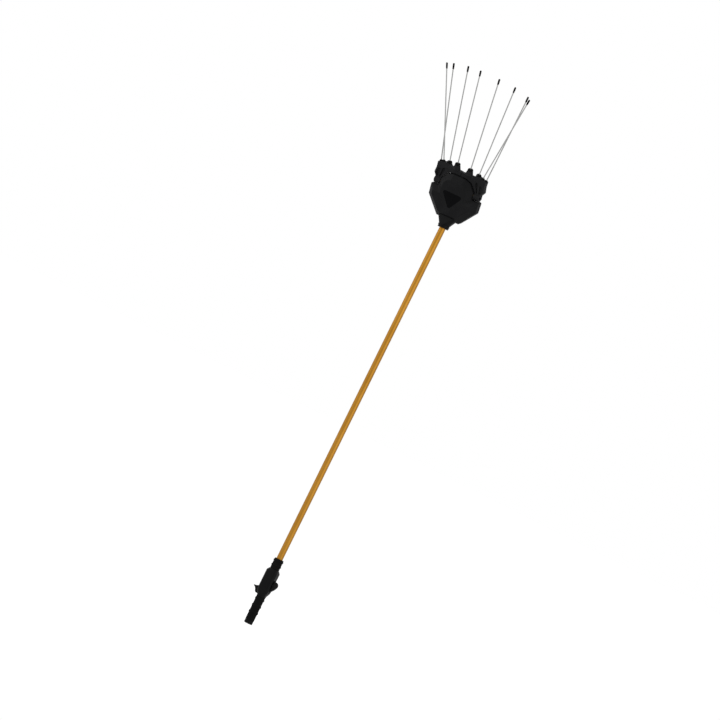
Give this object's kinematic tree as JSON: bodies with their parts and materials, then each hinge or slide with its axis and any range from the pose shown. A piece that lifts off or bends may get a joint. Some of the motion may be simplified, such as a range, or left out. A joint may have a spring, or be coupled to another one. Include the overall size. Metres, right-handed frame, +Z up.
{
  "type": "electric olive harvester",
  "caption": "Hand-held pole harvester: trigger handle, long gold pole and a leaning motor head whose two combs of slender rods swing in opposite phase to shake fruit off branches.",
  "frame": {"origin": "centre of the power inlet's mouth, on the flat end of the handle", "axes": "+Z up the pole, -Y the side the head leans to and its front face looks to, +X the thumb lever's side"},
  "size_m": [0.4274, 0.289, 2.5326],
  "materials": {
    "gold_anodised": "satin anodised",
    "black_nylon": "moulded, fine grain",
    "black_rubber": "matt",
    "rod_composite": "smooth pultruded",
    "steel": "turned",
    "black_steel": "black oxide",
    "bronze": "turned",
    "cast_alloy": "die cast",
    "black_cast": "black coated casting",
    "circuit_board": "lacquered",
    "gloss_inset": "smooth",
    "roller_nylon": "moulded"
  },
  "bodies": {
    "frame": {"pole": "gold_anodised", "handle_front_shell": "black_nylon", "handle_rear_shell": "black_nylon", "end_cap": "black_nylon", "power_inlet": "black_nylon", "trigger_switch": "black_nylon", "lock_switch": "black_nylon", "head_front_shell": "black_nylon", "head_rear_shell": "black_nylon", "terminal_block": "black_nylon", "grip_sleeve": "black_rubber", "pole_boot": "black_rubber", "supply_lead": "black_rubber", "inner_cable": "black_rubber", "head_gasket": "black_rubber", "handle_screws": "steel", "trigger_pin": "steel", "lever_pin": "steel", "trigger_spring": "steel", "lever_spring": "steel", "neck_clamp_screw": "steel", "head_screws": "steel", "crank_bearings": "steel", "motor_can": "steel", "pivot_bushes": "bronze", "inlet_contacts": "bronze", "motor_front_plate": "cast_alloy", "neck": "black_cast", "control_board": "circuit_board", "front_inset": "gloss_inset"},
    "crank": {"crankshaft": "steel", "crank_gear": "steel"},
    "rotor": {"motor_rotor": "steel", "motor_pinion": "steel"},
    "trigger_blade": {"trigger": "black_nylon"},
    "thumb_blade": {"thumb_lever": "black_nylon"},
    "left_swing": {"left_comb": "black_nylon", "left_pivot_shaft": "steel", "left_comb_screw": "black_steel", "left_rocker_yoke": "steel", "left_yoke_roller": "roller_nylon", "left_rod_boots": "black_rubber", "left_rod_tips": "black_rubber", "left_rod_1": "rod_composite", "left_rod_2": "rod_composite", "left_rod_3": "rod_composite", "left_rod_4": "rod_composite"},
    "right_swing": {"right_comb": "black_nylon", "right_pivot_shaft": "steel", "right_comb_screw": "black_steel", "right_rocker_yoke": "steel", "right_yoke_roller": "roller_nylon", "right_rod_boots": "black_rubber", "right_rod_tips": "black_rubber", "right_rod_1": "rod_composite", "right_rod_2": "rod_composite", "right_rod_3": "rod_composite", "right_rod_4": "rod_composite"}
  },
  "joints": [
    {"name": "crank_spin", "type": "hinge", "parent": "frame", "child": "crank", "pos_m": [0, -0.0222, 2.00859], "axis": [1, 0, 0], "continuous": true},
    {"name": "rotor_spin", "type": "hinge", "parent": "frame", "child": "rotor", "pos_m": [0, -0.0088, 1.97625], "axis": [1, 0, 0], "continuous": true},
    {"name": "left_comb_swing", "type": "hinge", "parent": "frame", "child": "left_swing", "pos_m": [-0.099, -0.0398, 2.05108], "axis": [1, 0, 0], "range_deg": [-7.5, 7.5]},
    {"name": "right_comb_swing", "type": "hinge", "parent": "frame", "child": "right_swing", "pos_m": [0.099, -0.0398, 2.05108], "axis": [1, 0, 0], "range_deg": [-7.5, 7.5]},
    {"name": "trigger_pull", "type": "hinge", "parent": "frame", "child": "trigger_blade", "pos_m": [-0.017, 0, 0.172], "axis": [0, -1, 0], "range_deg": [0, 8], "stiffness_Nm_per_rad": 0.1, "springref_deg": -5.73, "deforming": ["trigger_spring"]},
    {"name": "lever_press", "type": "hinge", "parent": "frame", "child": "thumb_blade", "pos_m": [0.0215, 0, 0.16], "axis": [0, -1, 0], "range_deg": [0, 10], "stiffness_Nm_per_rad": 0.1, "springref_deg": -5.73, "deforming": ["lever_spring"]}
  ],
  "couplings": [
    {"joint": "rotor_spin", "follows": "crank_spin", "ratio": -4},
    {"joint": "right_comb_swing", "follows": "left_comb_swing", "ratio": -1}
  ]
}
